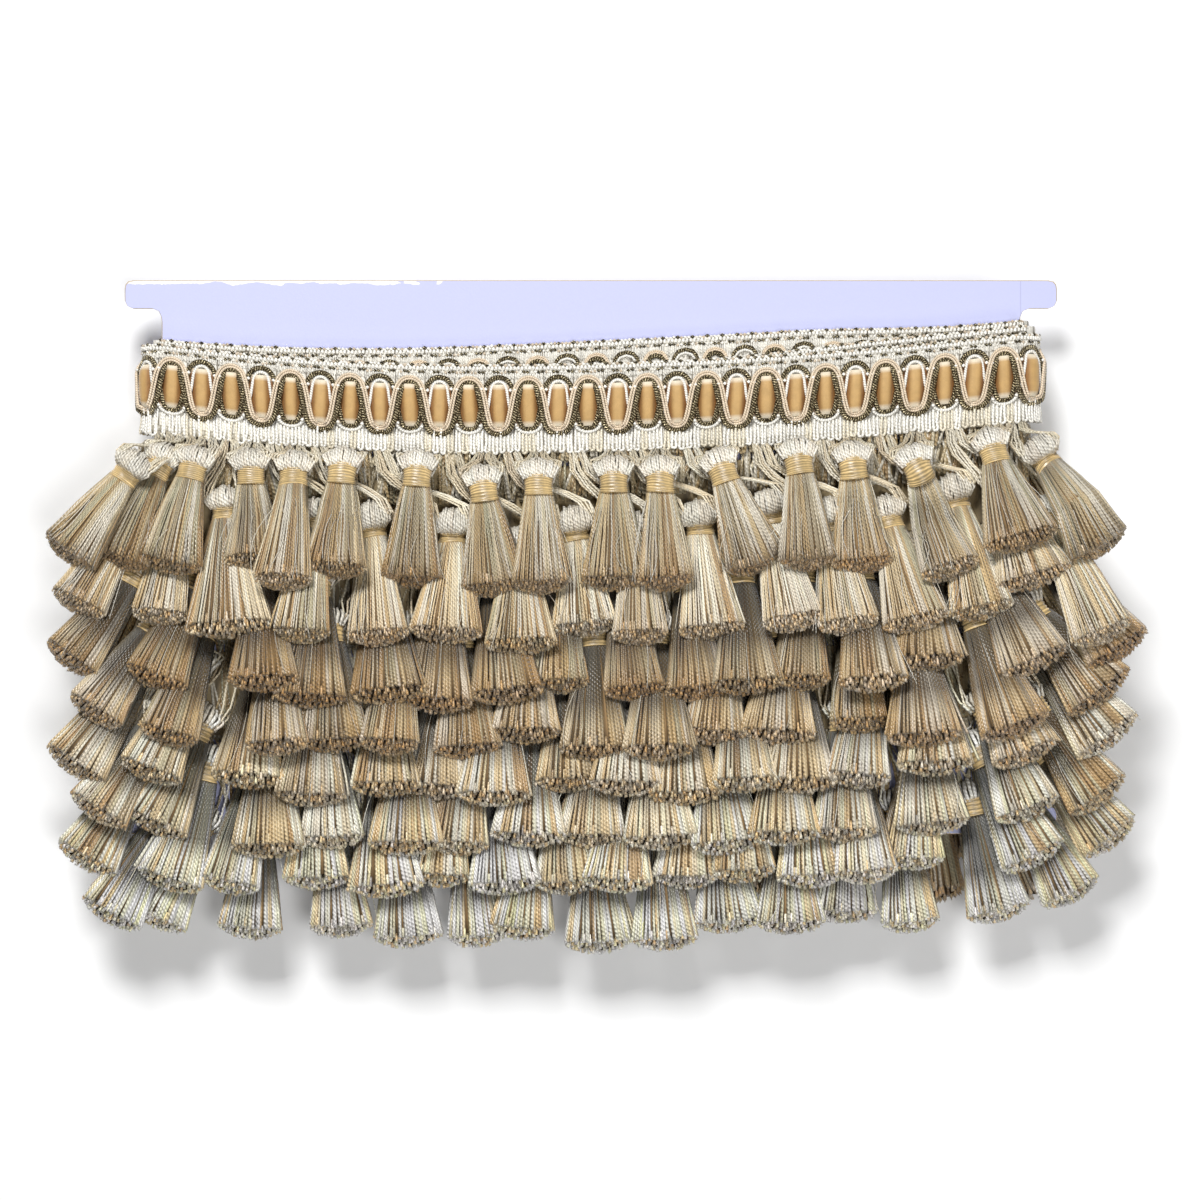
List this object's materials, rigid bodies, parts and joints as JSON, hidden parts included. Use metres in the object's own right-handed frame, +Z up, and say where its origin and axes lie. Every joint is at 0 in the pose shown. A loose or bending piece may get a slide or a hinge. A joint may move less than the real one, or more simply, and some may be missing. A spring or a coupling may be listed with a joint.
{
  "type": "tassel fringe trim wound on a card",
  "caption": "Upholstery tassel fringe on a gimp heading, wound round a flat card and laid on its back.",
  "frame": {"origin": "middle of the bounding box in plan, on the surface that the back rests on", "axes": "+X along the card's length, +Y to the card's bare top edge, +Z up out of the front"},
  "size_m": [0.3808, 0.2334, 0.063],
  "materials": {
    "card": "matt pale lavender board",
    "heading_weave": "woven cream yarn with pearl and bronze edge",
    "ribbon": "puffed tan-gold ribbon, soft sheen",
    "satin_cord": "satin cord in pinkish tan",
    "metallic_cord": "bronze metallic yarn",
    "tassel_yarn": "plied rayon yarn in cream, tan, gold and taupe, soft sheen"
  },
  "bodies": {
    "root": {"winding_card": "card", "gimp_heading": "heading_weave", "gimp_ribbon": "ribbon", "scroll_over": "satin_cord", "scroll_under": "metallic_cord", "fringe_front_1": "tassel_yarn", "fringe_front_2": "tassel_yarn", "fringe_front_3": "tassel_yarn", "fringe_front_4": "tassel_yarn", "fringe_back_1": "tassel_yarn", "fringe_back_2": "tassel_yarn", "fringe_back_3": "tassel_yarn", "fringe_back_4": "tassel_yarn"}
  },
  "joints": []
}
